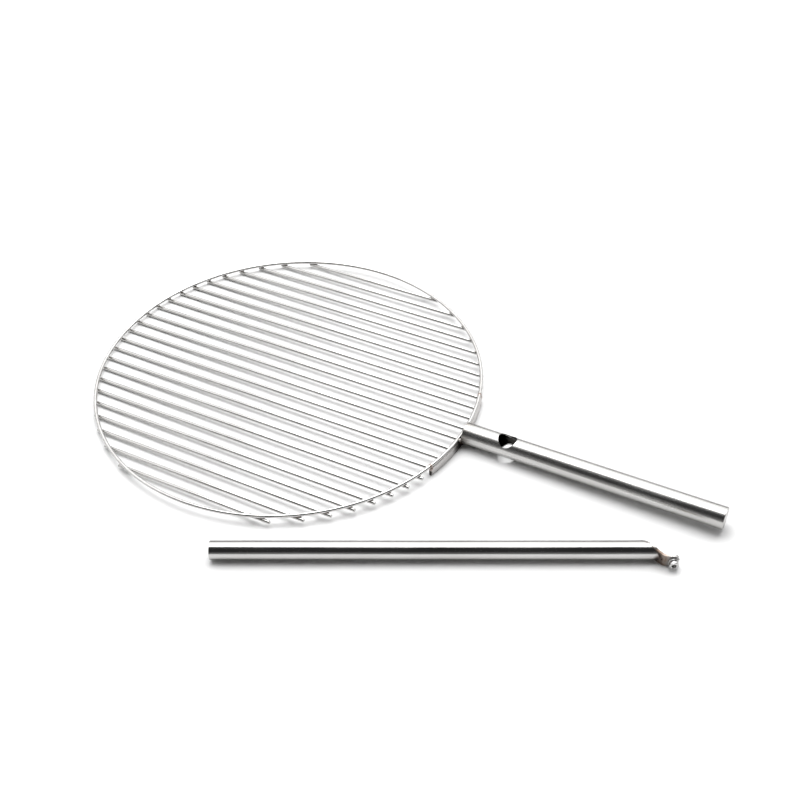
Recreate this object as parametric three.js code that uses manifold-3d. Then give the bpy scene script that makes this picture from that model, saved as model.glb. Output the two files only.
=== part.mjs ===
// A round stainless grill grate with a side handle, and the support pole that it threads onto.
// The two halves lie side by side on the ground, taken apart.
//
// Millimetres, +X along the pole, +Z up. The origin is the middle of the footprint, at ground
// level. Pieces that touch on the real object are drawn 0.3 mm apart.

import * as THREE from "three";
import { mergeVertices } from "three/addons/utils/BufferGeometryUtils.js";
import Module from "manifold-3d";

const wasm = await Module();
wasm.setup();

const DEG = Math.PI / 180;
const GAP = 0.3;

// Grate: a wire ring lying on parallel bars. Its own frame has the ring's middle at the origin,
// +X along the handle and +Z out of the cooking side. The bars on the pole's side of the handle
// stick out a little past the ring.
const RING_RADIUS = 225;
const WIRE_RADIUS = 2;
const BAR_COUNT = 24;
const BAR_PITCH = 18;
const BAR_Z = -(2 * WIRE_RADIUS + GAP);
const BAR_END = 227;
const BAR_END_NEAR = 230;

// Band: the curved flat that carries the handle. It stands on edge under the ring, and the bars
// in its reach end against its inner face.
const BAND_THICKNESS = 3;
const BAND_OUTER = 227.6;
const BAND_INNER = BAND_OUTER - BAND_THICKNESS;
const BAND_TOP = -(WIRE_RADIUS + GAP);
const BAND_HEIGHT = 10;
const BAND_HALF_ANGLE = 17 * DEG;
const BAR_END_AT_BAND = BAND_INNER - GAP;

// Handle: a straight tube in the ring's plane, with a hole right through it for the pole.
const HANDLE_RADIUS = 12.5;
const HANDLE_WALL = 1.5;
const HANDLE_START = BAND_OUTER + GAP;
const HANDLE_END = 521.6;
const CROSS_HOLE_RADIUS = 10.3;
const CROSS_HOLE_X = 278.2;
const PLUG_THICKNESS = 2;

// Pole: a tube cut off at a slant at its foot. Its own frame has +X along the axis, towards the
// foot, and -Y towards the clamp; x is counted from below the ring's middle.
const POLE_RADIUS = 10;
const POLE_WALL = 1.5;
const POLE_START = -59.95;
const MITRE_X = 383;
const MITRE_ANGLE = 45 * DEG;

// Foot bracket: one flat strip that closes the slanted end, cranks sideways and ends in a tab
// with rounded corners, which carries the screw.
const STRIP_THICKNESS = 2.5;
const STRIP_HEIGHT = 17;
const STRIP_BEND = 3.2;
const TAB_Y = -12.5;
const TAB_END_X = 411.9;
const TAB_CORNER = 5.5;
const DRAIN_HOLE_RADIUS = 1;

// Clamp screw: a low-head M6 socket screw with its washer, square to the tab.
const SCREW_X = 406.2;
const HEAD_RADIUS = 5;
const HEAD_LENGTH = 4;
const HEAD_FRONT_Y = -19.65;
const HEAD_CHAMFER = 0.5;
const SHANK_RADIUS = 2.95;
const SHANK_LENGTH = 8;
const SOCKET_ACROSS_FLATS = 5;
const SOCKET_DEPTH = 2.4;
const THREAD_HOLE_RADIUS = 3.3;
const WASHER_RADIUS = 5.5;
const WASHER_THICKNESS = 1.3;

// Layout on the ground. The grate leans on its far rim and on the handle's near end; the pole has
// rolled until the tab's lower edge touches down.
const GRATE_YAW = -26.61 * DEG;
const GRATE_TILT = 0.781 * DEG;
const GRATE_HEIGHT = 9.394;
const POLE_AXIS_Y = -270.42;
const POLE_ROLL = 6.49 * DEG;

function solidOf(geometry) {
  const bare = geometry.clone();
  bare.deleteAttribute("normal");
  bare.deleteAttribute("uv");
  const merged = mergeVertices(bare, 1e-4);
  return new wasm.Manifold(
    new wasm.Mesh({
      numProp: 3,
      vertProperties: merged.attributes.position.array,
      triVerts: new Uint32Array(merged.index.array),
    }),
  );
}

function geometryOf(solid) {
  const mesh = solid.getMesh();
  const geometry = new THREE.BufferGeometry();
  geometry.setAttribute("position", new THREE.BufferAttribute(mesh.vertProperties, 3));
  geometry.setIndex(new THREE.BufferAttribute(mesh.triVerts, 1));
  const flat = geometry.toNonIndexed();
  flat.computeVertexNormals();
  return flat;
}

function cut(geometry, ...tools) {
  let solid = solidOf(geometry);
  for (const tool of tools) {
    solid = solid.subtract(solidOf(tool));
  }
  return geometryOf(solid);
}

// A solid cylinder along X from x0 to x1.
function rodX(radius, x0, x1, sides) {
  const rod = new THREE.CylinderGeometry(radius, radius, x1 - x0, sides);
  rod.rotateZ(-Math.PI / 2);
  rod.translate((x0 + x1) / 2, 0, 0);
  return rod;
}

// A round tube along Z from 0 to length.
function sleeve(outer, inner, length, sides) {
  const wall = new THREE.Shape();
  wall.absarc(0, 0, outer, 0, 2 * Math.PI, false);
  const bore = new THREE.Path();
  bore.absarc(0, 0, inner, 0, 2 * Math.PI, true);
  wall.holes.push(bore);
  return new THREE.ExtrudeGeometry(wall, {
    depth: length,
    bevelEnabled: false,
    curveSegments: sides,
  });
}

function tubeX(outer, wall, x0, x1, sides) {
  const tube = sleeve(outer, outer - wall, x1 - x0, sides);
  tube.rotateY(Math.PI / 2);
  tube.translate(x0, 0, 0);
  return tube;
}

// A part of a flat hoop standing on edge: radii, half the angle it covers, bottom and height.
function hoopArc(inner, outer, halfAngle, bottom, height, segments) {
  const outline = new THREE.Shape();
  outline.absarc(0, 0, outer, -halfAngle, halfAngle, false);
  outline.absarc(0, 0, inner, halfAngle, -halfAngle, true);
  outline.closePath();
  const arc = new THREE.ExtrudeGeometry(outline, {
    depth: height,
    bevelEnabled: false,
    curveSegments: segments,
  });
  arc.translate(0, 0, bottom);
  return arc;
}

// A strip folded along its corner points, seen from above, and standing on edge about z = 0.
function foldedStrip(corners, thickness, bend, height) {
  const path = new THREE.CurvePath();
  let from = corners[0];
  for (let i = 1; i < corners.length - 1; i++) {
    const here = corners[i];
    const back = corners[i - 1].clone().sub(here).setLength(bend);
    const on = corners[i + 1].clone().sub(here).setLength(bend);
    const bendStart = here.clone().add(back);
    const bendEnd = here.clone().add(on);
    path.add(new THREE.LineCurve(from, bendStart));
    path.add(new THREE.QuadraticBezierCurve(bendStart, here, bendEnd));
    from = bendEnd;
  }
  path.add(new THREE.LineCurve(from, corners[corners.length - 1]));

  const left = [];
  const right = [];
  for (const curve of path.curves) {
    const steps = curve.isLineCurve ? 1 : 6;
    for (let i = left.length ? 1 : 0; i <= steps; i++) {
      const point = curve.getPoint(i / steps);
      const along = curve.getTangent(i / steps);
      const side = new THREE.Vector2(-along.y, along.x).multiplyScalar(thickness / 2);
      left.push(point.clone().add(side));
      right.unshift(point.clone().sub(side));
    }
  }
  const outline = new THREE.Shape([...left, ...right]);
  const strip = new THREE.ExtrudeGeometry(outline, { depth: height, bevelEnabled: false });
  strip.translate(0, 0, -height / 2);
  return strip;
}

// A tall block, seen from the side as a bar whose end at x has rounded corners.
function roundedEnd(x, height, corner) {
  const half = height / 2;
  const outline = new THREE.Shape();
  outline.moveTo(x - 100, -half);
  outline.lineTo(x - corner, -half);
  outline.absarc(x - corner, corner - half, corner, -Math.PI / 2, 0, false);
  outline.absarc(x - corner, half - corner, corner, 0, Math.PI / 2, false);
  outline.lineTo(x - 100, half);
  outline.closePath();
  const block = new THREE.ExtrudeGeometry(outline, {
    depth: 100,
    bevelEnabled: false,
    curveSegments: 6,
  });
  block.translate(0, 0, -50);
  block.rotateX(Math.PI / 2);
  return block;
}

// A block that fills everything past the slanted plane through (x, 0), on the foot's side.
function pastMitre(x) {
  const block = new THREE.BoxGeometry(100, 200, 100);
  block.translate(50, 0, 0);
  block.rotateZ(Math.PI / 2 - MITRE_ANGLE);
  block.translate(x, 0, 0);
  return block;
}

function mesh(parent, name, geometry, colour, roughness) {
  const material = new THREE.MeshStandardMaterial({ color: colour, metalness: 1, roughness });
  material.name = name;
  const piece = new THREE.Mesh(geometry, material);
  piece.name = name;
  parent.add(piece);
}

function makeGrate() {
  const grate = new THREE.Group();
  grate.name = "grate";

  const ring = new THREE.TorusGeometry(RING_RADIUS, WIRE_RADIUS, 12, 96);
  mesh(grate, "ring", ring, 0xc9c9c6, 0.25);

  for (let i = 0; i < BAR_COUNT; i++) {
    const y = (i - (BAR_COUNT - 1) / 2) * BAR_PITCH;
    const outerSide = Math.abs(y) + WIRE_RADIUS;
    const meetsBand = outerSide < BAND_OUTER * Math.sin(BAND_HALF_ANGLE) + 2 * WIRE_RADIUS;
    const free = y < 0 ? BAR_END_NEAR : BAR_END;
    const x0 = -Math.sqrt(BAR_END ** 2 - y ** 2);
    const x1 = meetsBand
      ? Math.sqrt(BAR_END_AT_BAND ** 2 - outerSide ** 2)
      : Math.sqrt(free ** 2 - y ** 2);
    const bar = rodX(WIRE_RADIUS, x0, x1, 12);
    bar.translate(0, y, BAR_Z);
    mesh(grate, "bar_" + String(i + 1).padStart(2, "0"), bar, 0xc4c4c1, 0.28);
  }

  const bottom = BAND_TOP - BAND_HEIGHT;
  const band = hoopArc(BAND_INNER, BAND_OUTER, BAND_HALF_ANGLE, bottom, BAND_HEIGHT, 16);
  mesh(grate, "handle_band", band, 0xbab7b2, 0.35);

  const tube = tubeX(HANDLE_RADIUS, HANDLE_WALL, HANDLE_START, HANDLE_END, 40);
  const hole = new THREE.CylinderGeometry(CROSS_HOLE_RADIUS, CROSS_HOLE_RADIUS, 60, 36);
  hole.rotateX(Math.PI / 2);
  hole.translate(CROSS_HOLE_X, 0, 0);
  mesh(grate, "handle_tube", cut(tube, hole), 0xc6c6c3, 0.3);

  const plugRadius = HANDLE_RADIUS - HANDLE_WALL - GAP;
  const plug = rodX(plugRadius, HANDLE_END - PLUG_THICKNESS, HANDLE_END, 40);
  mesh(grate, "handle_end_plug", plug, 0xc0c0bd, 0.35);
  return grate;
}

function makeFootBracket() {
  const along = new THREE.Vector2(Math.cos(MITRE_ANGLE), -Math.sin(MITRE_ANGLE));
  const across = new THREE.Vector2(Math.sin(MITRE_ANGLE), Math.cos(MITRE_ANGLE));
  const start = across.clone().multiplyScalar(STRIP_THICKNESS / 2);
  start.x += MITRE_X;
  const crank = start.clone().addScaledVector(along, (TAB_Y - start.y) / along.y);
  const corners = [start, crank, new THREE.Vector2(TAB_END_X, TAB_Y)];
  const folded = solidOf(foldedStrip(corners, STRIP_THICKNESS, STRIP_BEND, STRIP_HEIGHT));
  const strip = folded.intersect(solidOf(roundedEnd(TAB_END_X, STRIP_HEIGHT, TAB_CORNER)));

  // The part that closes the tube follows the tube's own round outline.
  const round = solidOf(rodX(POLE_RADIUS, MITRE_X - 60, MITRE_X + 60, 36));
  const near = solidOf(pastMitre(MITRE_X));
  const far = solidOf(pastMitre(MITRE_X + STRIP_THICKNESS / Math.sin(MITRE_ANGLE)));
  const cover = round.intersect(near).subtract(far);

  const threadHole = new THREE.CylinderGeometry(THREAD_HOLE_RADIUS, THREAD_HOLE_RADIUS, 6, 24);
  threadHole.translate(SCREW_X, TAB_Y, 0);
  const drain = new THREE.CylinderGeometry(DRAIN_HOLE_RADIUS, DRAIN_HOLE_RADIUS, 8, 12);
  drain.rotateZ(MITRE_ANGLE * -1);
  const drainAt = start.clone().lerp(crank, 0.86);
  drain.translate(drainAt.x, drainAt.y, 0);
  return geometryOf(strip.add(cover).subtract(solidOf(threadHole)).subtract(solidOf(drain)));
}

function makeScrew() {
  const headBack = HEAD_FRONT_Y + HEAD_LENGTH;
  const tip = headBack + SHANK_LENGTH;
  const profile = [
    [0, HEAD_FRONT_Y],
    [HEAD_RADIUS - HEAD_CHAMFER, HEAD_FRONT_Y],
    [HEAD_RADIUS, HEAD_FRONT_Y + HEAD_CHAMFER],
    [HEAD_RADIUS, headBack],
    [SHANK_RADIUS, headBack],
    [SHANK_RADIUS, tip - HEAD_CHAMFER],
    [SHANK_RADIUS - HEAD_CHAMFER, tip],
    [0, tip],
  ];
  const turned = new THREE.LatheGeometry(profile.map(([r, y]) => new THREE.Vector2(r, y)), 24);
  const socketRadius = SOCKET_ACROSS_FLATS / Math.sqrt(3);
  const socket = new THREE.CylinderGeometry(socketRadius, socketRadius, 2 * SOCKET_DEPTH, 6);
  socket.translate(0, HEAD_FRONT_Y, 0);
  const screw = cut(turned, socket);
  screw.translate(SCREW_X, 0, 0);
  return screw;
}

function makePole() {
  const pole = new THREE.Group();
  pole.name = "pole";

  const blank = tubeX(POLE_RADIUS, POLE_WALL, POLE_START, MITRE_X + 40, 36);
  const slanted = cut(blank, pastMitre(MITRE_X - GAP / Math.sin(MITRE_ANGLE)));
  mesh(pole, "pole_tube", slanted, 0xc6c6c3, 0.3);

  const plugRadius = POLE_RADIUS - POLE_WALL - GAP;
  const plug = rodX(plugRadius, POLE_START, POLE_START + PLUG_THICKNESS, 36);
  mesh(pole, "pole_end_plug", plug, 0xc0c0bd, 0.35);

  mesh(pole, "foot_bracket", makeFootBracket(), 0x8f8578, 0.4);
  mesh(pole, "clamp_screw", makeScrew(), 0xb8b8b6, 0.35);

  const washer = sleeve(WASHER_RADIUS, THREAD_HOLE_RADIUS, WASHER_THICKNESS, 24);
  washer.rotateX(-Math.PI / 2);
  washer.translate(SCREW_X, HEAD_FRONT_Y + HEAD_LENGTH + GAP, 0);
  mesh(pole, "clamp_washer", washer, 0xc2c2bf, 0.35);
  return pole;
}

const grate = makeGrate();
grate.rotation.set(0, -GRATE_TILT, GRATE_YAW, "ZYX");
grate.position.z = GRATE_HEIGHT;

const pole = makePole();
pole.rotation.x = POLE_ROLL;
pole.position.set(0, POLE_AXIS_Y, POLE_RADIUS);

const layout = new THREE.Group();
layout.add(grate, pole);
const box = new THREE.Box3().setFromObject(layout, true);
layout.position.set(-(box.min.x + box.max.x) / 2, -(box.min.y + box.max.y) / 2, -box.min.z);

const root = new THREE.Group();
root.name = "grill_grate_with_pole";
root.add(layout);

export default root;
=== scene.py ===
"""Looks of the round grill grate and its support pole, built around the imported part.

Lengths in the constants are millimetres, unless a comment says otherwise. Each piece is worked out
in the frame of the half that it belongs to, +X along the handle or the pole and +Z out of the
cooking side or straight up, and its points are then moved to where the piece lies.
"""

import math
import random

import bmesh
import bpy
from mathutils import Matrix, Vector


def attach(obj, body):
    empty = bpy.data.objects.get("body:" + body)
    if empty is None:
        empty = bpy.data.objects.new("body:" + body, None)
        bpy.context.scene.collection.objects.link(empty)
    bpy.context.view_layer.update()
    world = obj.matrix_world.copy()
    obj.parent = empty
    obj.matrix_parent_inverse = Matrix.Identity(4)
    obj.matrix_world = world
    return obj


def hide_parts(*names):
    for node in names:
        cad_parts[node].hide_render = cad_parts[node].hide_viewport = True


MM = 0.001
DEG = math.pi / 180
GAP = 0.3
TUBE_SIDES = 96

# Grate.
RING_RADIUS = 225
WIRE_RADIUS = 2
BAR_COUNT = 24
BAR_PITCH = 18
BAR_Z = -(2 * WIRE_RADIUS + GAP)
BAR_END = 227
BAR_END_NEAR = 230
BAND_THICKNESS = 3
BAND_OUTER = 227.6
BAND_INNER = BAND_OUTER - BAND_THICKNESS
BAND_TOP = -(WIRE_RADIUS + 0.05)
BAND_BOTTOM = -(WIRE_RADIUS + GAP + 10)
BAND_HALF_ANGLE = 17 * DEG
BAR_END_AT_BAND = BAND_INNER - GAP
HANDLE_RADIUS = 12.5
HANDLE_WALL = 1.5
HANDLE_START = BAND_OUTER + GAP
HANDLE_END = 521.6
CROSS_HOLE_RADIUS = 10.3
CROSS_HOLE_X = 278.2
PLUG_THICKNESS = 2
RING_STEPS = 288
RING_SIDES = 20
BAR_EASE = 0.5
BAR_SHOULDER = (0.15, 0.18)
BAND_EDGE = 0.4
BAND_CHAMFER = 0.35
SHEET_HALF = 16.0
SHEET_CORNER = 55 * DEG
HOLE_EASE = 0.22

# Pole, foot bracket and clamp screw.
POLE_RADIUS = 10
POLE_WALL = 1.5
POLE_START = -59.95
MITRE_X = 383
MITRE_ANGLE = 45 * DEG
STRIP_THICKNESS = 2.5
STRIP_HEIGHT = 17
STRIP_BEND = 3.2
TAB_Y = -12.5
TAB_END_X = 411.9
TAB_CORNER = 5.5
STRIP_EDGE = 0.45
DRAIN_HOLE_RADIUS = 1
DRAIN_SHARE = 0.86
SCREW_X = 406.2
HEAD_RADIUS = 5
HEAD_LENGTH = 4
HEAD_FRONT = 19.65
SHANK_RADIUS = 2.95
SHANK_LENGTH = 8
SOCKET_ACROSS_FLATS = 5
SOCKET_DEPTH = 2.4
THREAD_PITCH = 1
THREAD_DEPTH = 0.5
THREAD_HOLE_RADIUS = 3.3
WASHER_RADIUS = 5.5
WASHER_THICKNESS = 1.3

# Welds.
CROSSING_WELD = 1.5
CROSSING_WELD_LONGEST = 6
CROSSING_WELD_HEIGHT = 0.9
HANDLE_WELD_RADIUS = 12.9
HANDLE_WELD_BEAD = 1.35
FOOT_WELD_RADIUS = 9.4
FOOT_WELD_BEAD = 0.72

# Colours of the bare metals, and tints and painted shade that multiply them.
BAR_COLOUR = (0.6, 0.595, 0.585)
RING_COLOUR = (0.66, 0.655, 0.645)
BAND_COLOUR = (0.58, 0.565, 0.555)
TUBE_COLOUR = (0.58, 0.575, 0.565)
PLUG_COLOUR = (0.52, 0.515, 0.505)
SCREW_COLOUR = (0.66, 0.655, 0.65)
WASHER_COLOUR = (0.7, 0.695, 0.69)
WELD_COLOUR = (0.52, 0.5, 0.48)
WELD_STAIN = (0.6, 0.53, 0.48)
BAND_WELD_COLOUR = (0.5, 0.43, 0.4)
FOOT_WELD_COLOUR = (0.2, 0.175, 0.16)
FOOT_WELD_STAIN = (0.5, 0.4, 0.35)
PLAIN = (1.0, 1.0, 1.0)
BLOTCH_TINT = (0.9, 0.89, 0.885)
HEAT_BROWN = (0.3, 0.24, 0.2)
# Painted shade for the band's near end.
BAND_END_PAINTED_SHADE = (0.05, 0.045, 0.04)
# Painted shade for the corner between the band and the handle's root.
ROOT_PAINTED_SHADE = (0.1, 0.085, 0.08)
HANDLE_ROOT_TINT = (0.6, 0.55, 0.5)
# Painted shade for the tubes' bores.
BORE_PAINTED_SHADE = (0.1, 0.095, 0.09)
POLE_FOOT_TINT = (0.66, 0.63, 0.6)
# Painted shade for the pole's front end by the bracket.
POLE_END_PAINTED_SHADE = (0.16, 0.135, 0.12)
STRIP_TINT = (0.6, 0.51, 0.45)
# Painted shade for the strip where it leaves the tube.
STRIP_PAINTED_SHADE = (0.14, 0.11, 0.1)
STRIP_CLOUD = (0.55, 0.47, 0.42)
# Painted shade for the handle weld's near flank.
WELD_PAINTED_SHADE = (0.12, 0.1, 0.09)

# Where the heat tints and the painted shade sit, in the frame of their half.
BAND_ROOT_AT = (BAND_OUTER, 0, -6)
BAND_END_SHADE_AT = (215.6, -67.5, -8)
ROOT_SHADE_AT = (BAND_OUTER, -16, -8)
HANDLE_WELD_SHADE_AT = (BAND_OUTER, -13, -6)
POLE_END_SHADE_AT = (394, -8, -3)
STRIP_SHADE_AT = (392, -7, 2)

# Where the two halves lie.
GRATE_YAW = -26.61 * DEG
GRATE_TILT = 0.781 * DEG
GRATE_AT = (-122.049442, 30.945122, 9.393688)
POLE_ROLL = 6.49 * DEG
POLE_AT = (-122.049442, -239.474878, 9.999688)

# Studio light, by direction. A bright wall fills what is behind (+Y), from z WALL_FOOT up to where y
# is WALL_RISE times z, a little short of overhead. Past LEFT_START its edge comes forward by WALL_WRAP,
# as far as LEFT_REACH. In front it is dim: FRONT_HORIZON when low and FRONT_CEILING when high.
WALL_LIGHT = 2.1
WALL_RISE = 0.17
WALL_WRAP = 1.6
WALL_BLUR = 0.05
WALL_FOOT = 0.27
WALL_FOOT_BLUR = 0.1
LEFT_START = 0.12
LEFT_REACH = 0.2
FRONT_HORIZON = 0.35
FRONT_CEILING = 0.04
FRONT_LOW = 0.1
FRONT_HIGH = 0.5
KEY_WATTS = 55

# The key light's and the floor's places and sizes are in metres.
KEY_SIZE = 2.4
KEY_AT = (0.1, 0.6, 2.5)
FLOOR_HALF = 20.0
PAPER = 0.9

# Camera.
CAMERA_AT = (31.18, -1063.18, 964.55)
CAMERA_YAW = 1.248 * DEG
CAMERA_TILT = 47.705 * DEG
CAMERA_ROLL = -0.952 * DEG
CAMERA_LENS = 55.755
CAMERA_SENSOR = 36

# Sockets: the Mix node's colour ones are called by number, and a Map Range node's ends by name.
MIX_FACTOR = 0
MIX_BELOW = 6
MIX_ABOVE = 7
MIX_RESULT = 2
RANGE_SOCKETS = ("From Min", "From Max", "To Min", "To Max")

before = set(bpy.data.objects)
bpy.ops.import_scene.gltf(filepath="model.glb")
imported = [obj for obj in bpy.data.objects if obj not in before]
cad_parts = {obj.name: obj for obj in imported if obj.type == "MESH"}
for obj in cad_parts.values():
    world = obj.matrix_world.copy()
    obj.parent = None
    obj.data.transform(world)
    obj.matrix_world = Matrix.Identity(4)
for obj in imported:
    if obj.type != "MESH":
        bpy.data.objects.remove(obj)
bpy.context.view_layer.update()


def shift(x, y, z):
    return Matrix.Translation(Vector((x, y, z)) * MM)


GRATE = shift(*GRATE_AT) @ Matrix.Rotation(GRATE_YAW, 4, "Z") @ Matrix.Rotation(-GRATE_TILT, 4, "Y")
POLE = shift(*POLE_AT) @ Matrix.Rotation(POLE_ROLL, 4, "X")
SCREW = POLE @ shift(SCREW_X, 0, 0) @ Matrix.Rotation(-math.pi / 2, 4, "Z")


# ---------------------------------------------------------------- mesh helpers


def skin(rings, loop=False):
    """Points and faces that join rings of equally many points; open ends get a flat cap."""
    count = len(rings[0])
    faces = []
    for a in range(len(rings) if loop else len(rings) - 1):
        b = (a + 1) % len(rings)
        for i in range(count):
            j = (i + 1) % count
            faces.append((a * count + i, a * count + j, b * count + j, b * count + i))
    if not loop:
        last = (len(rings) - 1) * count
        faces.append(tuple(range(count)))
        faces.append(tuple(last + i for i in range(count)))
    return [p for ring in rings for p in ring], faces


def joined(parts):
    points, faces = [], []
    for more_points, more_faces in parts:
        start = len(points)
        points += more_points
        faces += [tuple(start + i for i in face) for face in more_faces]
    return points, faces


def piece(name, shape, place, weld=0.0):
    """An object from points in millimetres, given in the frame `place`."""
    points, faces = shape
    data = bpy.data.meshes.new(name)
    data.from_pydata([place @ (Vector(p) * MM) for p in points], [], faces)
    edit = bmesh.new()
    edit.from_mesh(data)
    if weld:
        bmesh.ops.remove_doubles(edit, verts=edit.verts, dist=weld * MM)
    bmesh.ops.recalc_face_normals(edit, faces=edit.faces)
    edit.to_mesh(data)
    edit.free()
    obj = bpy.data.objects.new(name, data)
    bpy.context.collection.objects.link(obj)
    return obj


def smooth(obj, angle=32):
    obj.data.shade_smooth()
    obj.data.set_sharp_from_angle(angle=angle * DEG)


def boolean(obj, operation, other):
    """Cuts `other` from obj, or joins it on; `other` is used up."""
    bpy.context.view_layer.update()
    step = obj.modifiers.new("step", "BOOLEAN")
    step.operation = operation
    step.solver = "EXACT"
    step.object = other
    made = obj.evaluated_get(bpy.context.evaluated_depsgraph_get())
    data = bpy.data.meshes.new_from_object(made)
    obj.modifiers.clear()
    obj.data = data
    bpy.data.objects.remove(other, do_unlink=True)


def true_round(obj, place, radii):
    """Exact normals where faces lie on a cylinder about the X axis of `place`."""
    data = obj.data
    back = place.inverted()
    turn = place.to_3x3()
    local = [back @ vertex.co for vertex in data.vertices]
    normals = [Vector((0, 0, 0))] * len(data.loops)
    for face in data.polygons:
        corners = [local[v] for v in face.vertices]
        middle = back @ face.center
        facing = turn.transposed() @ face.normal
        for radius in radii:
            if any(abs(math.hypot(p.y, p.z) - radius * MM) > 2e-6 for p in corners):
                continue
            out = middle.y * facing.y + middle.z * facing.z > 0
            for i in face.loop_indices:
                at = local[data.loops[i].vertex_index]
                normals[i] = turn @ Vector((0, at.y, at.z)).normalized() * (1 if out else -1)
    data.normals_split_custom_set(normals)


def circle(radius, sides, x=0.0):
    turns = [2 * math.pi * i / sides for i in range(sides)]
    return [(x, radius * math.cos(a), radius * math.sin(a)) for a in turns]


def turned(profile, sides, loop=False):
    """A solid turned about X from (x, radius) pairs."""
    return skin([circle(radius, sides, x) for x, radius in profile], loop)


def rounded_box(width, height, radius, steps=4):
    """Outline of a rectangle with rounded corners, as (across, up) pairs about its middle."""
    outline = []
    for k, (sx, sy) in enumerate(((1, 1), (-1, 1), (-1, -1), (1, -1))):
        for i in range(steps + 1):
            a = (k + i / steps) * math.pi / 2
            x = sx * (width / 2 - radius) + radius * math.cos(a)
            y = sy * (height / 2 - radius) + radius * math.sin(a)
            outline.append((x, y))
    return outline


def bead(path, radius, sides=10, closed=False):
    """A weld bead along (point, outward) pairs, with the ripples that a hand leaves."""
    rings = []
    count = len(path)
    for i, (at, out) in enumerate(path):
        before = path[i - 1 if closed or i else 0][0]
        after = path[(i + 1) % count if closed else min(i + 1, count - 1)][0]
        along = (Vector(after) - Vector(before)).normalized()
        up = (Vector(out) - along * Vector(out).dot(along)).normalized()
        side = along.cross(up)
        size = radius(i / (count if closed else count - 1))
        ring = []
        for k in range(sides):
            a = 2 * math.pi * k / sides
            ring.append(Vector(at) + (up * math.cos(a) + side * math.sin(a)) * size)
        rings.append(ring)
    return skin(rings, closed)


def nugget(at, long_way, size, sides=12, rows=7):
    """A flattened blob of weld metal; size is its half length, half width and half height."""
    rings = []
    turn = Matrix.Rotation(long_way, 3, "Z")
    for i in range(rows):
        tip = math.pi * (i + 0.35) / (rows - 0.3)
        x = -math.cos(tip) * size[0]
        swell = math.sin(tip)
        ring = []
        for k in range(sides):
            a = 2 * math.pi * k / sides
            here = Vector((x, swell * size[1] * math.cos(a), swell * size[2] * math.sin(a)))
            ring.append(Vector(at) + turn @ here)
        rings.append(ring)
    return skin(rings)


# ---------------------------------------------------------------- materials


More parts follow.
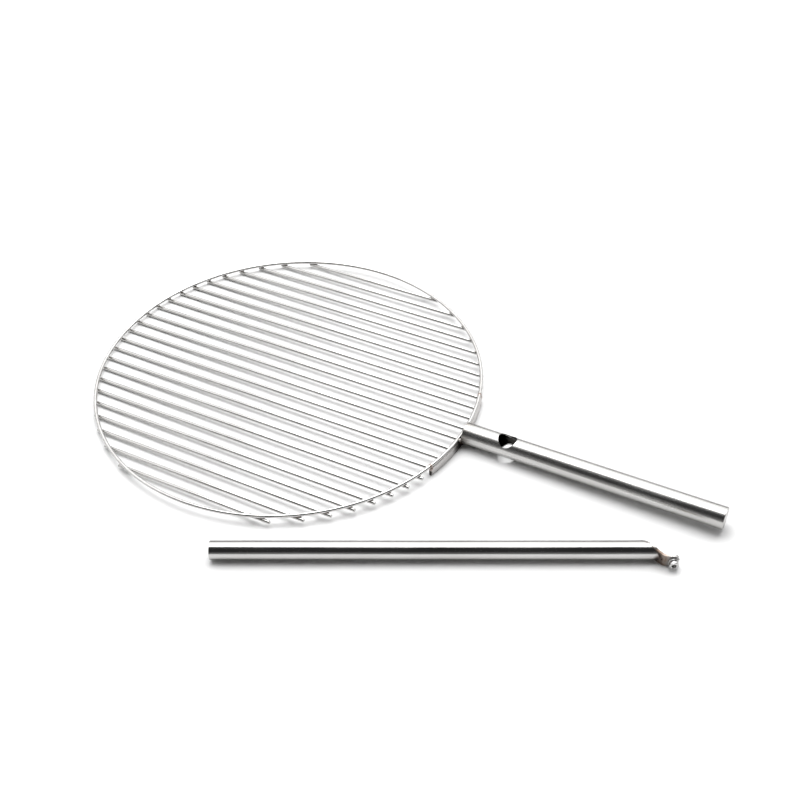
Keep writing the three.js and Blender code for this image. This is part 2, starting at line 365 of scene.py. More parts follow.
class Look:
    """A metal look, built up on one Principled shader in the coordinates of the frame `place`."""

    def __init__(self, name, place, colour, roughness):
        self.material = bpy.data.materials.new(name)
        self.material.use_nodes = True
        self.tree = self.material.node_tree
        self.shader = self.tree.nodes["Principled BSDF"]
        self.shader.inputs["Metallic"].default_value = 1.0
        self.shader.inputs["Roughness"].default_value = roughness
        self.shader.inputs["Base Color"].default_value = (*colour, 1)
        back = place.inverted()
        local = self.tree.nodes.new("ShaderNodeMapping")
        local.inputs["Location"].default_value = back.to_translation()
        local.inputs["Rotation"].default_value = back.to_euler("XYZ")
        points = self.tree.nodes.new("ShaderNodeTexCoord").outputs["Object"]
        self.tree.links.new(points, local.inputs["Vector"])
        self.coords = local.outputs["Vector"]
        self.colour = None
        self.base = colour

    def add(self, kind, **settings):
        node = self.tree.nodes.new(kind)
        for key, value in settings.items():
            setattr(node, key, value)
        return node

    def link(self, out, into):
        self.tree.links.new(out, into)

    def noise(self, scale, detail=2.0, stretch=(1, 1, 1), seed=0.0, distortion=0.0):
        place = self.add("ShaderNodeMapping")
        place.inputs["Location"].default_value = (seed, seed * 0.7, seed * 1.3)
        place.inputs["Scale"].default_value = stretch
        self.link(self.coords, place.inputs["Vector"])
        noise = self.add("ShaderNodeTexNoise")
        noise.inputs["Scale"].default_value = scale
        noise.inputs["Detail"].default_value = detail
        noise.inputs["Distortion"].default_value = distortion
        self.link(place.outputs["Vector"], noise.inputs["Vector"])
        return noise.outputs["Fac"]

    def spread(self, value, low, high, to_low, to_high):
        """Takes low..high to to_low..to_high in a straight line, and holds the ends beyond."""
        ramp = self.add("ShaderNodeMapRange")
        for key, number in zip(RANGE_SOCKETS, (low, high, to_low, to_high)):
            ramp.inputs[key].default_value = number
        self.link(value, ramp.inputs["Value"])
        return ramp.outputs["Result"]

    def ramp(self, value, stops):
        """A colour for each value, from (place, colour) stops."""
        ramp = self.add("ShaderNodeValToRGB")
        band = ramp.color_ramp
        while len(band.elements) < len(stops):
            band.elements.new(0.5)
        for element, (place, colour) in zip(band.elements, stops):
            element.position = place
            element.color = (*colour, 1)
        self.link(value, ramp.inputs["Fac"])
        return ramp.outputs["Color"]

    def paint(self, colour, amount=None):
        """Multiplies what is there by a colour: in full, or by an amount from 0 to 1."""
        mix = self.add("ShaderNodeMix", data_type="RGBA", blend_type="MULTIPLY")
        if self.colour is None:
            mix.inputs[MIX_BELOW].default_value = (*self.base, 1)
        else:
            self.link(self.colour, mix.inputs[MIX_BELOW])
        if isinstance(colour, tuple):
            mix.inputs[MIX_ABOVE].default_value = (*colour, 1)
        else:
            self.link(colour, mix.inputs[MIX_ABOVE])
        if amount is None:
            mix.inputs[MIX_FACTOR].default_value = 1.0
        else:
            self.link(amount, mix.inputs[MIX_FACTOR])
        self.colour = mix.outputs[MIX_RESULT]

    def near(self, point, low, high):
        """1 within `low` mm of a point, falling to 0 at `high` mm."""
        apart = self.add("ShaderNodeVectorMath", operation="DISTANCE")
        apart.inputs[1].default_value = Vector(point) * MM
        self.link(self.coords, apart.inputs[0])
        return self.spread(apart.outputs["Value"], low * MM, high * MM, 1, 0)

    def along(self, axis, start, end):
        """From 0 to 1 as the object coordinate goes from start to end, in mm."""
        split = self.add("ShaderNodeSeparateXYZ")
        self.link(self.coords, split.inputs[0])
        return self.spread(split.outputs[axis], start * MM, end * MM, 0, 1)

    def within(self, radius):
        """1 on a tube's bore of this radius about X, 0 on its outside, in mm."""
        flat = self.add("ShaderNodeVectorMath", operation="MULTIPLY")
        flat.inputs[1].default_value = (0, 1, 1)
        self.link(self.coords, flat.inputs[0])
        away = self.add("ShaderNodeVectorMath", operation="LENGTH")
        self.link(flat.outputs["Vector"], away.inputs[0])
        return self.spread(away.outputs["Value"], (radius + 0.1) * MM, (radius + 0.4) * MM, 1, 0)

    def times(self, a, b, operation="MULTIPLY"):
        node = self.add("ShaderNodeMath", operation=operation)
        self.link(a, node.inputs[0])
        if isinstance(b, (int, float)):
            node.inputs[1].default_value = b
        else:
            self.link(b, node.inputs[1])
        return node.outputs["Value"]

    def bump(self, height, distance):
        """Raises the surface by up to `distance` mm where height is 1."""
        bump = self.add("ShaderNodeBump")
        bump.inputs["Distance"].default_value = distance * MM
        bump.inputs["Strength"].default_value = 1.0
        self.link(height, bump.inputs["Height"])
        self.link(bump.outputs["Normal"], self.shader.inputs["Normal"])

    def finished(self):
        if self.colour is not None:
            self.link(self.colour, self.shader.inputs["Base Color"])
        return self.material


def brushed(name, place, colour, roughness, grain, scale, seed, bump=0.02, contrast=0.12):
    """Steel with fine scratches, drawn out where `grain` is small, and faint blotches."""
    look = Look(name, place, colour, roughness)
    scratches = look.noise(scale, 3, grain, seed)
    clouds = look.noise(22, 3, (0.6, 1, 1), seed + 3)
    look.paint(look.ramp(scratches, ((0.3, (1 - contrast,) * 3), (0.7, PLAIN))))
    look.paint(look.ramp(clouds, ((0.3, BLOTCH_TINT), (0.7, PLAIN))))
    fine = look.spread(scratches, 0.3, 0.7, roughness - 0.035, roughness + 0.05)
    coarse = look.spread(clouds, 0.3, 0.7, -0.025, 0.035)
    look.link(look.times(fine, coarse, "ADD"), look.shader.inputs["Roughness"])
    look.bump(scratches, bump)
    return look


def bar_steel():
    grain = (0.05, 1, 1)
    look = brushed("bar_steel", GRATE, BAR_COLOUR, 0.2, grain, scale=420, seed=1, bump=0.01)
    return look.finished()


def ring_steel():
    grain = (1, 1, 1)
    look = brushed("ring_steel", GRATE, RING_COLOUR, 0.2, grain, scale=160, seed=2, bump=0.01)
    return look.finished()


def band_steel():
    """Brushed along the band, brown at the handle's root, with painted shade beside the root and on the
    near end.
    """
    grain = (1, 0.09, 1.6)
    look = brushed("band_steel", GRATE, BAND_COLOUR, 0.3, grain, scale=330, seed=3, contrast=0.2)
    root = look.near(BAND_ROOT_AT, 14, 26)
    uneven = look.times(root, look.noise(90, 2, seed=5))
    look.paint(HEAT_BROWN, look.times(uneven, 1.3))
    # Painted shade on the band's near end.
    look.paint(BAND_END_PAINTED_SHADE, look.near(BAND_END_SHADE_AT, 3.4, 4.6))
    # Painted shade in the corner beside the handle's root, broken up by flecks.
    root_shade = look.near(ROOT_SHADE_AT, 5, 13)
    flecks = look.spread(look.noise(120, 3, seed=9), 0.3, 0.55, 0.55, 1)
    look.paint(ROOT_PAINTED_SHADE, look.times(root_shade, flecks))
    return look.finished()


def handle_steel():
    """Drawn tube, tinted towards the weld, with painted shade in its bore."""
    grain = (0.03, 1, 1)
    look = brushed("handle_steel", GRATE, TUBE_COLOUR, 0.22, grain, scale=380, seed=4, bump=0.012)
    root = look.times(look.along("X", 240, 229), look.noise(60, 3, (0.6, 1, 1), 6))
    look.paint(HANDLE_ROOT_TINT, root)
    # Painted shade in the bore.
    look.paint(BORE_PAINTED_SHADE, look.within(HANDLE_RADIUS - HANDLE_WALL))
    return look.finished()


def pole_steel():
    """Drawn tube, tinted towards the foot, with painted shade at its front end by the bracket and in
    its bore.
    """
    grain = (0.03, 1, 1)
    look = brushed("pole_steel", POLE, TUBE_COLOUR, 0.14, grain, scale=420, seed=7, bump=0.012)
    foot = look.times(look.along("X", 372, 400), look.noise(70, 3, (0.7, 1, 1), 8))
    look.paint(POLE_FOOT_TINT, foot)
    # Painted shade on the tube's front end where it meets the bracket.
    look.paint(POLE_END_PAINTED_SHADE, look.near(POLE_END_SHADE_AT, 6, 9.5))
    # Painted shade in the bore.
    look.paint(BORE_PAINTED_SHADE, look.within(POLE_RADIUS - POLE_WALL))
    return look.finished()


def plug_steel(name, place, seed):
    grain = (1, 1, 1)
    look = brushed(name, place, PLUG_COLOUR, 0.3, grain, scale=300, seed=seed)
    return look.finished()


def bracket_steel():
    """Duller strip, tinted and clouded on its slanted run between the tube and the tab, with painted
    shade where it leaves the tube.
    """
    grain = (1, 1, 0.12)
    look = brushed("bracket_steel", POLE, TUBE_COLOUR, 0.3, grain, 360, 11, bump=0.03, contrast=0.2)
    look.shader.inputs["Metallic"].default_value = 0.85
    strip = look.times(look.along("Y", -2, -6), look.along("X", 403, 398))
    look.paint(STRIP_TINT, strip)
    # Painted shade on the strip where it leaves the tube, broken up by flecks.
    stain_and_shade = look.near(STRIP_SHADE_AT, 3, 8)
    flecks = look.spread(look.noise(150, 3, seed=12), 0.4, 0.55, 0.35, 1)
    look.paint(STRIP_PAINTED_SHADE, look.times(stain_and_shade, flecks))
    clouds = look.noise(140, 4, seed=13, distortion=0.6)
    look.paint(look.ramp(clouds, ((0.42, STRIP_CLOUD), (0.62, PLAIN))), strip)
    return look.finished()


def screw_steel():
    grain = (0.3, 1, 1)
    look = brushed("screw_steel", SCREW, SCREW_COLOUR, 0.24, grain, scale=900, seed=14, bump=0.01)
    return look.finished()


def washer_steel():
    grain = (1, 0.3, 1)
    look = brushed("washer_steel", SCREW, WASHER_COLOUR, 0.26, grain, scale=800, seed=15, bump=0.01)
    return look.finished()


def weld_steel(name, place, seed, colour=WELD_COLOUR, stain_and_shade=WELD_STAIN, shade_at=None):
    """Rough, clouded weld metal, with painted shade round a point if one is given."""
    grain = (1, 1, 1)
    look = brushed(name, place, colour, 0.34, grain, 260, seed, bump=0.05, contrast=0.3)
    clouds = look.noise(120, 3, seed=seed + 1)
    look.paint(look.ramp(clouds, ((0.35, stain_and_shade), (0.65, PLAIN))))
    # Painted shade round the given point, if there is one.
    if shade_at:
        look.paint(WELD_PAINTED_SHADE, look.near(shade_at, 3, 8))
    return look.finished()


# ---------------------------------------------------------------- grate


def grate_ring():
    rings = []
    for i in range(RING_STEPS):
        turn = 2 * math.pi * i / RING_STEPS
        ring = []
        for k in range(RING_SIDES):
            a = 2 * math.pi * k / RING_SIDES
            r = RING_RADIUS + WIRE_RADIUS * math.cos(a)
            ring.append((r * math.cos(turn), r * math.sin(turn), WIRE_RADIUS * math.sin(a)))
        rings.append(ring)
    ring = piece("ring_fine", skin(rings, loop=True), GRATE)
    smooth(ring, 60)
    return ring


def bar_ends(y):
    """Where the bar at this y starts and stops: short of the band where it would run into it."""
    x0 = -math.sqrt(BAR_END**2 - y * y)
    outer_side = abs(y) + WIRE_RADIUS
    if outer_side < BAND_OUTER * math.sin(BAND_HALF_ANGLE) + 2 * WIRE_RADIUS:
        return x0, math.sqrt(BAR_END_AT_BAND**2 - outer_side**2)
    return x0, math.sqrt((BAR_END_NEAR if y < 0 else BAR_END) ** 2 - y * y)


def grate_bar(y, name):
    x0, x1 = bar_ends(y)
    r = WIRE_RADIUS
    along, down = BAR_SHOULDER
    profile = [(x0, r - BAR_EASE), (x0 + along, r - down), (x0 + BAR_EASE, r)]
    profile += [(x1 - BAR_EASE, r), (x1 - along, r - down), (x1, r - BAR_EASE)]
    bar = piece(name, turned(profile, 24), GRATE @ shift(0, y, BAR_Z))
    smooth(bar, 40)
    return bar


def crossing_welds():
    """The squashed metal where each bar was resistance-welded to the ring."""
    rng = random.Random(4)
    blobs = []
    for i in range(BAR_COUNT):
        y = (i - (BAR_COUNT - 1) / 2) * BAR_PITCH
        for side in (-1, 1):
            x = side * math.sqrt(RING_RADIUS**2 - y * y)
            ring_way = math.atan2(x, -y)
            between = (ring_way + math.pi / 2) % math.pi - math.pi / 2
            long_way = between / 2
            opening = max(abs(math.sin(between / 2)), 0.2)
            long = min(CROSSING_WELD / opening, CROSSING_WELD_LONGEST) * rng.uniform(0.92, 1.08)
            wide = rng.uniform(1.35, 1.6)
            size = (long, wide, CROSSING_WELD_HEIGHT)
            blobs.append(nugget((x, y, BAR_Z / 2), long_way, size))
    welds = piece("crossing_welds", joined(blobs), GRATE)
    smooth(welds, 60)
    return welds


def handle_band():
    thickness, tall = BAND_THICKNESS, BAND_TOP - BAND_BOTTOM
    outline = rounded_box(thickness, tall, BAND_EDGE)
    middle = (BAND_INNER + BAND_OUTER) / 2
    height = (BAND_TOP + BAND_BOTTOM) / 2
    lead = 1 - BAND_CHAMFER / (BAND_HALF_ANGLE * middle)
    stops = [(-1, BAND_CHAMFER), (-lead, 0)]
    stops += [(i / 16, 0) for i in range(-15, 16)]
    stops += [(lead, 0), (1, BAND_CHAMFER)]
    rings = []
    for place, inset in stops:
        turn = place * BAND_HALF_ANGLE
        ring = []
        for across, up in outline:
            r = middle + across * (1 - 2 * inset / thickness)
            z = height + up * (1 - 2 * inset / tall)
            ring.append((r * math.cos(turn), r * math.sin(turn), z))
        rings.append(ring)
    band = piece("handle_band_fine", skin(rings), GRATE)
    smooth(band, 40)
    return band


def handle_sheet(radius, side, hole, rows):
    """Half of a tube's wall round the cross-hole, from the hole's rim out to a plain rectangle."""
    half, corner = SHEET_HALF, SHEET_CORNER
    quarter = math.pi / 2
    sides = (
        (48, (half, -quarter, -corner), (half, quarter, corner)),
        (24, (half, quarter, corner), (-half, quarter, math.pi - corner)),
        (48, (-half, quarter, math.pi - corner), (-half, -quarter, math.pi + corner)),
        (24, (-half, -quarter, math.pi + corner), (half, -quarter, 2 * math.pi - corner)),
    )
    border = []
    for count, start, end in sides:
        for i in range(count):
            border.append(Vector(start).lerp(Vector(end), i / count))
    rings = []
    for k in range(rows + 1):
        mix = (k / rows) ** 1.4
        ring = []
        for x, a, phi in border:
            rim_x = hole * math.cos(phi)
            rim_a = math.asin(hole * math.sin(phi) / radius)
            px = rim_x + (x - rim_x) * mix
            pa = rim_a + (a - rim_a) * mix
            ring.append((CROSS_HOLE_X + px, radius * math.sin(pa), side * radius * math.cos(pa)))
        rings.append(ring)
    points, faces = skin(rings)
    return points, faces[:-2], rings[0]


def handle_tube():
    """The drilled handle tube, with its outer wall, its bore and the rims that the drill left."""
    outer, inner = HANDLE_RADIUS, HANDLE_RADIUS - HANDLE_WALL
    parts = []
    for side in (1, -1):
        rims = []
        for radius in (outer, inner):
            points, faces, rim = handle_sheet(radius, side, CROSS_HOLE_RADIUS + HOLE_EASE, 8)
            parts.append((points, faces))
            rims.append(rim)
        wall = [rims[0]]
        for share in (0.15, 0.85):
            ring = []
            for a, b in zip(*rims):
                across = Vector(a).lerp(Vector(b), share)
                flat = Vector((across.x - CROSS_HOLE_X, across.y))
                flat *= CROSS_HOLE_RADIUS / flat.length
                ring.append((CROSS_HOLE_X + flat.x, flat.y, across.z))
            wall.append(ring)
        wall.append(rims[1])
        points, faces = skin(wall)
        parts.append((points, faces[:-2]))

    left, right = CROSS_HOLE_X - SHEET_HALF, CROSS_HOLE_X + SHEET_HALF
    near = [(left, outer), (HANDLE_START + 0.3, outer), (HANDLE_START, outer - 0.3)]
    near += [(HANDLE_START, inner + 0.3), (HANDLE_START + 0.3, inner), (left, inner)]
    far = [(right, outer), (HANDLE_END - 100, outer), (HANDLE_END - 0.45, outer)]
    far += [(HANDLE_END - 0.13, outer - 0.13), (HANDLE_END, outer - 0.45)]
    far += [(HANDLE_END, inner + 0.25), (HANDLE_END - 0.25, inner), (right, inner)]
    for profile in (near, far):
        points, faces = turned(profile, TUBE_SIDES)
        parts.append((points, faces[:-2]))
    tube = piece("handle_tube_fine", joined(parts), GRATE, weld=0.002)
    smooth(tube, 30)
    true_round(tube, GRATE, (outer, inner))
    return tube


def handle_plug():
    r = HANDLE_RADIUS - HANDLE_WALL - GAP
    x0, x1 = HANDLE_END - PLUG_THICKNESS, HANDLE_END
    profile = [(x0, r - 0.2), (x0 + 0.2, r), (x1 - 0.3, r), (x1 - 0.08, r - 0.1), (x1, r - 0.35)]
    plug = piece("handle_plug_fine", turned(profile, 72), GRATE)
    smooth(plug)
    return plug


def ripples(size, count, ends):
    """A bead's radius along its run: ripples, and a taper over the share `ends` at either end."""

    def radius(t):
        taper = min(1, 0.35 + 0.65 * min(t, 1 - t) / ends)
        return size * (1 + 0.12 * math.sin(t * count * 2 * math.pi)) * taper

    return radius


def handle_weld():
    """Fillets down both flanks of the handle's root, from the ring to the band's lower edge."""
    runs = []
    for side in (-1, 1):
        path = []
        for i in range(41):
            a = (4 - 62 * i / 40) * DEG
            y = side * HANDLE_WELD_RADIUS * math.cos(a)
            z = HANDLE_WELD_RADIUS * math.sin(a)
            x = math.sqrt(BAND_OUTER**2 - y * y) + 0.3
            path.append(((x, y, z), (1, side * math.cos(a), math.sin(a))))
        runs.append(bead(path, ripples(HANDLE_WELD_BEAD, 9, 0.12)))
        runs.append(nugget((227.6, side * 13.4, 0.4), math.pi / 2, (2.6, 1.5, 1.7)))
    weld = piece("handle_weld", joined(runs), GRATE)
    smooth(weld, 60)
    return weld


def band_end_welds():
    """The blobs that hold the two ends of the band up to the ring."""
    blobs = []
    for side in (-1, 1):
        a = side * (BAND_HALF_ANGLE - 0.5 * DEG)
        at = (RING_RADIUS * math.cos(a), RING_RADIUS * math.sin(a), -0.3)
        blobs.append(nugget(at, a + math.pi / 2, (3.6, 2.5, 2.6), 16, 9))
        small = (226.4 * math.cos(a), 226.4 * math.sin(a), -3.4)
        blobs.append(nugget(small, a + math.pi / 2, (2.6, 1.7, 2.2), 16, 9))
    welds = piece("band_end_welds", joined(blobs), GRATE)
    smooth(welds, 60)
    return welds


# ---------------------------------------------------------------- pole


def mitre(x, y):
    """How far along the pole the slanted cut through x lies at this y."""
    return x - y / math.tan(MITRE_ANGLE)


def pole_tube():
    outer, inner = POLE_RADIUS, POLE_RADIUS - POLE_WALL
    cut = MITRE_X - GAP / math.sin(MITRE_ANGLE)
    start = POLE_START
    profile = [(start + 0.25, inner), (start, inner + 0.25), (start, outer - 0.45)]
    profile += [(start + 0.13, outer - 0.13), (start + 0.45, outer), (200, outer)]
    rings = [circle(radius, TUBE_SIDES, x) for x, radius in profile]
    for radius in (outer, inner):
        rings.append([(mitre(cut, y), y, z) for _, y, z in circle(radius, TUBE_SIDES)])
    tube = piece("pole_tube_fine", skin(rings, loop=True), POLE)
    smooth(tube, 30)
    true_round(tube, POLE, (outer, inner))
    return tube


def pole_plug():
    r = POLE_RADIUS - POLE_WALL - GAP
    x0, x1 = POLE_START, POLE_START + PLUG_THICKNESS
    profile = [(x0, r - 0.35), (x0 + 0.08, r - 0.1), (x0 + 0.3, r), (x1 - 0.2, r), (x1, r - 0.2)]
    plug = piece("pole_plug_fine", turned(profile, 72), POLE)
    smooth(plug)
    return plug


def foot_weld():
    """The bead that closes the slanted end of the tube onto the bracket."""
    path = []
    steps = 240
    for i in range(steps):
        a = 2 * math.pi * i / steps
        y, z = FOOT_WELD_RADIUS * math.cos(a), FOOT_WELD_RADIUS * math.sin(a)
        path.append(((mitre(MITRE_X - 0.2, y), y, z), (0, math.cos(a), math.sin(a))))

    def ripple(t):
        turn = t * 2 * math.pi
        return FOOT_WELD_BEAD + 0.06 * math.sin(turn * 46) + 0.05 * math.sin(turn * 7)

    weld = piece("foot_weld", bead(path, ripple, closed=True), POLE)
    smooth(weld, 60)
    return weld


def strip_path():
    """Points and directions along the middle of the cranked strip, seen from above."""
    along = Vector((math.cos(MITRE_ANGLE), -math.sin(MITRE_ANGLE)))
    across = Vector((math.sin(MITRE_ANGLE), math.cos(MITRE_ANGLE)))
    start = across * (STRIP_THICKNESS / 2) + Vector((MITRE_X, 0))
    crank = start + along * ((TAB_Y - start.y) / along.y)
    corners = [start, crank, Vector((TAB_END_X + 1, TAB_Y))]
    path = [(start, along)]
    for before, here, after in zip(corners, corners[1:], corners[2:]):
        a = here + (before - here).normalized() * STRIP_BEND
        b = here + (after - here).normalized() * STRIP_BEND
        for i in range(11):
            t = i / 10
            at = a * (1 - t) ** 2 + here * 2 * t * (1 - t) + b * t * t
            way = ((here - a) * (1 - t) + (b - here) * t).normalized()
            path.append((at, way))
    path.append((corners[-1], (corners[-1] - corners[-2]).normalized()))
    drain = start.lerp(crank, DRAIN_SHARE)
    return path, drain


def tab_block():
    """A thick block, seen from the side as a bar whose end has rounded corners."""
    half = STRIP_HEIGHT / 2
    outline = [(TAB_END_X - 100, -half)]
    for k, middle in enumerate((TAB_CORNER - half, half - TAB_CORNER)):
        for i in range(13):
            a = (k - 1 + i / 12) * math.pi / 2
            x = TAB_END_X - TAB_CORNER + TAB_CORNER * math.cos(a)
            outline.append((x, middle + TAB_CORNER * math.sin(a)))
    outline.append((TAB_END_X - 100, half))
    return skin([[(x, side * 50, z) for x, z in outline] for side in (-1, 1)])


def foot_bracket():
    path, drain = strip_path()
    outline = rounded_box(STRIP_THICKNESS, STRIP_HEIGHT, STRIP_EDGE)
    rings = []
    for at, way in path:
        side = Vector((-way.y, way.x))
        ring = []
        for across, up in outline:
            p = at + side * across
            ring.append((p.x, p.y, up))
        rings.append(ring)
    bracket = piece("foot_bracket_fine", skin(rings), POLE)
    boolean(bracket, "INTERSECT", piece("tab", tab_block(), POLE))

    thick = STRIP_THICKNESS / math.sin(MITRE_ANGLE)
    rings = []
    for along, inset in ((0, 0.02), (0.05, 0), (thick - 0.5, 0), (thick - 0.15, 0.12), (thick, 0.4)):
        ring = circle(POLE_RADIUS - inset, TUBE_SIDES)
        rings.append([(mitre(MITRE_X + along, y), y, z) for _, y, z in ring])
    boolean(bracket, "UNION", piece("cover", skin(rings), POLE))

    r = THREAD_HOLE_RADIUS
    back, face = -TAB_Y - STRIP_THICKNESS / 2, -TAB_Y + STRIP_THICKNESS / 2
    bore = [(5, r + 0.35), (back, r + 0.35), (back + 0.35, r)]
    bore += [(face - 0.35, r), (face, r + 0.35), (17, r + 0.35)]
    boolean(bracket, "DIFFERENCE", piece("bore", turned(bore, 48), SCREW))
    across = POLE @ shift(drain.x, drain.y, 0) @ Matrix.Rotation(math.pi / 2 - MITRE_ANGLE, 4, "Z")
    hole = [(-4, DRAIN_HOLE_RADIUS), (4, DRAIN_HOLE_RADIUS)]
    boolean(bracket, "DIFFERENCE", piece("drain", turned(hole, 24), across))
    smooth(bracket, 30)
    return bracket


def clamp_screw():
    """Threaded shank and low head; X points out of the head."""
    back = HEAD_FRONT - HEAD_LENGTH
    tip = back - SHANK_LENGTH
    sides = 48
    rings = [circle(SHANK_RADIUS - THREAD_DEPTH - 0.1, sides, tip)]
    rows = int(SHANK_LENGTH / THREAD_PITCH * 12)
    for i in range(1, rows):
        x = tip + SHANK_LENGTH * i / rows
        fade = min(1.0, (x - tip) / 1.2, (back - x) / 0.8)
        ring = []
        for k in range(sides):
            turn = k / sides
            phase = (x / THREAD_PITCH - turn) % 1
            height = 1 - abs(2 * phase - 1)
            height = min(1, max(0, height * 1.25 - 0.1))
            r = SHANK_RADIUS - THREAD_DEPTH * (1 - height * max(fade, 0))
            ring.append((x, r * math.cos(turn * 2 * math.pi), r * math.sin(turn * 2 * math.pi)))
        rings.append(ring)
    front = HEAD_FRONT
    head = [(back, 2.9), (back, 4.6), (back + 0.15, 4.9), (back + 0.4, HEAD_RADIUS)]
    head += [(front - 0.7, HEAD_RADIUS), (front - 0.3, 4.88), (front - 0.08, 4.65), (front, 4.3)]
    rings += [circle(r, sides, x) for x, r in head]
    screw = piece("clamp_screw_fine", skin(rings), SCREW)
    hex_radius = SOCKET_ACROSS_FLATS / math.sqrt(3)
    floor = HEAD_FRONT - SOCKET_DEPTH
    socket = [circle(hex_radius, 6, floor), circle(hex_radius, 6, HEAD_FRONT + 1)]
    boolean(screw, "DIFFERENCE", piece("socket", skin(socket), SCREW))
    lead = [(HEAD_FRONT - 0.75, 2.2), (HEAD_FRONT + 0.25, 3.2)]
    boolean(screw, "DIFFERENCE", piece("lead", turned(lead, 48), SCREW))
    smooth(screw, 32)
    return screw


def clamp_washer():
    x0 = HEAD_FRONT - HEAD_LENGTH - GAP - WASHER_THICKNESS
    x1 = x0 + WASHER_THICKNESS
    r0, r1 = THREAD_HOLE_RADIUS, WASHER_RADIUS
    profile = [(x0, r0 + 0.12), (x0 + 0.12, r0), (x1 - 0.12, r0), (x1, r0 + 0.12)]
    profile += [(x1, r1 - 0.35), (x1 - 0.1, r1 - 0.12), (x1 - 0.35, r1)]
    profile += [(x0 + 0.15, r1), (x0, r1 - 0.15)]
    washer = piece("clamp_washer_fine", turned(profile, 64, loop=True), SCREW)
    smooth(washer)
    return washer


# ---------------------------------------------------------------- assembly


def fit(obj, body, material, slot, *nodes):
    """Gives a piece its material and its body, and hides the CAD nodes that it stands in for."""
    obj.data.materials.clear()
    obj.data.materials.append(material)
    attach(obj, body)
    if nodes:
        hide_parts(*nodes)


fit(grate_ring(), "grate", ring_steel(), "ring_steel", "ring")
wire = bar_steel()
for number in range(BAR_COUNT):
    y = (number - (BAR_COUNT - 1) / 2) * BAR_PITCH
    name = f"bar_{number + 1:02d}"
    fit(grate_bar(y, name + "_fine"), "grate", wire, "bar_steel", name)
fit(crossing_welds(), "grate", weld_steel("crossing_weld_steel", GRATE, 21), "ring_steel")
fit(handle_band(), "grate", band_steel(), "band_steel", "handle_band")
metal = weld_steel("band_weld_steel", GRATE, 24, BAND_WELD_COLOUR)
fit(band_end_welds(), "grate", metal, "band_steel")
fit(handle_tube(), "grate", handle_steel(), "handle_steel", "handle_tube")
metal = plug_steel("handle_plug_steel", GRATE, 27)
fit(handle_plug(), "grate", metal, "handle_plug_steel", "handle_end_plug")
# The handle weld gets painted shade on its near flank.
metal = weld_steel("handle_weld_steel", GRATE, 30, shade_at=HANDLE_WELD_SHADE_AT)
fit(handle_weld(), "grate", metal, "band_steel")

fit(pole_tube(), "pole", pole_steel(), "pole_steel", "pole_tube")
metal = plug_steel("pole_plug_steel", POLE, 33)
fit(pole_plug(), "pole", metal, "pole_plug_steel", "pole_end_plug")
fit(foot_bracket(), "pole", bracket_steel(), "bracket_steel", "foot_bracket")
metal = weld_steel("foot_weld_steel", POLE, 36, FOOT_WELD_COLOUR, FOOT_WELD_STAIN)
fit(foot_weld(), "pole", metal, "bracket_steel")
fit(clamp_washer(), "washer", washer_steel(), "washer_steel", "clamp_washer")
fit(clamp_screw(), "screw", screw_steel(), "screw_steel", "clamp_screw")


# ---------------------------------------------------------------- studio


def studio_floor():
    """Plain white paper."""
    data = bpy.data.meshes.new("floor")
    corners = [(x * FLOOR_HALF, y * FLOOR_HALF, 0) for x, y in ((-1, -1), (1, -1), (1, 1), (-1, 1))]
    data.from_pydata(corners, [], [(0, 1, 2, 3)])
    floor = bpy.data.objects.new("floor", data)
    bpy.context.collection.objects.link(floor)
    paper = bpy.data.materials.new("paper")
    paper.use_nodes = True
    shader = paper.node_tree.nodes["Principled BSDF"]
    shader.inputs["Base Color"].default_value = (PAPER, PAPER, PAPER, 1)
    shader.inputs["Roughness"].default_value = 1.0
    shader.inputs["Specular IOR Level"].default_value = 0.0
    data.materials.append(paper)


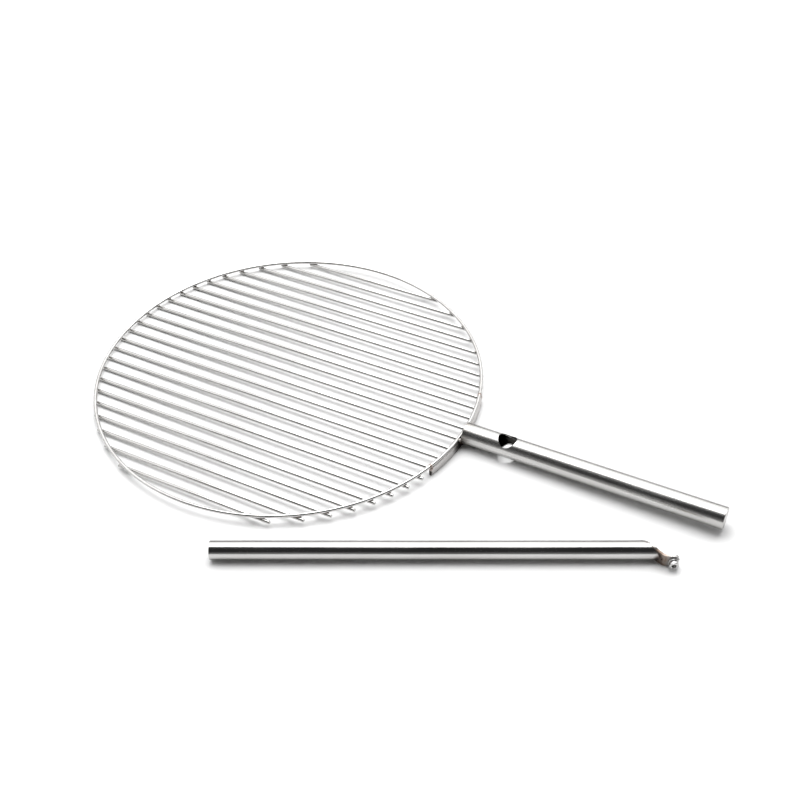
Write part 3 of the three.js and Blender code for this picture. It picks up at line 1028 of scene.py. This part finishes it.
def studio_world():
    """The same soft light for every ray but the camera's own, which see a plain backdrop."""
    world = bpy.data.worlds.new("studio")
    bpy.context.scene.world = world
    world.use_nodes = True
    tree = world.node_tree
    tree.nodes.clear()

    def math_node(operation, a, b):
        node = tree.nodes.new("ShaderNodeMath")
        node.operation = operation
        for socket, value in zip(node.inputs, (a, b)):
            if isinstance(value, (int, float)):
                socket.default_value = value
            else:
                tree.links.new(value, socket)
        return node.outputs[0]

    def ease(value, low, high, to_low, to_high):
        node = tree.nodes.new("ShaderNodeMapRange")
        node.interpolation_type = "SMOOTHSTEP"
        tree.links.new(value, node.inputs["Value"])
        for key, number in zip(RANGE_SOCKETS, (low, high, to_low, to_high)):
            node.inputs[key].default_value = number
        return node.outputs["Result"]

    split = tree.nodes.new("ShaderNodeSeparateXYZ")
    tree.links.new(tree.nodes.new("ShaderNodeTexCoord").outputs["Generated"], split.inputs[0])
    x, y, z = split.outputs
    edge = math_node("SUBTRACT", y, math_node("MULTIPLY", z, WALL_RISE))
    to_left = math_node("MINIMUM", math_node("ADD", x, LEFT_START), 0.0)
    to_left = math_node("MAXIMUM", to_left, -LEFT_REACH)
    edge = math_node("SUBTRACT", edge, math_node("MULTIPLY", to_left, WALL_WRAP))
    wall = ease(edge, -WALL_BLUR, WALL_BLUR, 0, 1)
    wall = math_node("MULTIPLY", wall, ease(z, WALL_FOOT, WALL_FOOT + WALL_FOOT_BLUR, 0, 1))
    front = ease(z, FRONT_LOW, FRONT_HIGH, FRONT_HORIZON, FRONT_CEILING)
    dim = math_node("MULTIPLY", math_node("SUBTRACT", 1, wall), front)
    soft = math_node("ADD", math_node("MULTIPLY", wall, WALL_LIGHT), dim)
    paths = tree.nodes.new("ShaderNodeLightPath")
    lit = tree.nodes.new("ShaderNodeBackground")
    tree.links.new(soft, lit.inputs["Strength"])
    backdrop = tree.nodes.new("ShaderNodeBackground")
    mix = tree.nodes.new("ShaderNodeMixShader")
    tree.links.new(paths.outputs["Is Camera Ray"], mix.inputs[0])
    tree.links.new(lit.outputs[0], mix.inputs[1])
    tree.links.new(backdrop.outputs[0], mix.inputs[2])
    tree.links.new(mix.outputs[0], tree.nodes.new("ShaderNodeOutputWorld").inputs["Surface"])


def key_light():
    """A large soft box overhead."""
    data = bpy.data.lights.new("key", "AREA")
    data.shape = "DISK"
    data.size = KEY_SIZE
    data.energy = KEY_WATTS
    light = bpy.data.objects.new("key", data)
    bpy.context.collection.objects.link(light)
    at = Vector(KEY_AT)
    light.location = at
    light.rotation_euler = (Vector((0, 0, 0)) - at).to_track_quat("-Z", "Y").to_euler()


studio_floor()
studio_world()
key_light()

camera = bpy.data.objects.new("camera", bpy.data.cameras.new("camera"))
bpy.context.collection.objects.link(camera)
aim = Matrix.Rotation(CAMERA_YAW, 4, "Z") @ Matrix.Rotation(CAMERA_TILT, 4, "X")
camera.matrix_world = shift(*CAMERA_AT) @ aim @ Matrix.Rotation(CAMERA_ROLL, 4, "Z")
camera.data.lens = CAMERA_LENS
camera.data.sensor_width = CAMERA_SENSOR
bpy.context.scene.camera = camera
bpy.context.scene.view_settings.view_transform = "Standard"
bpy.context.scene.view_settings.look = "None"
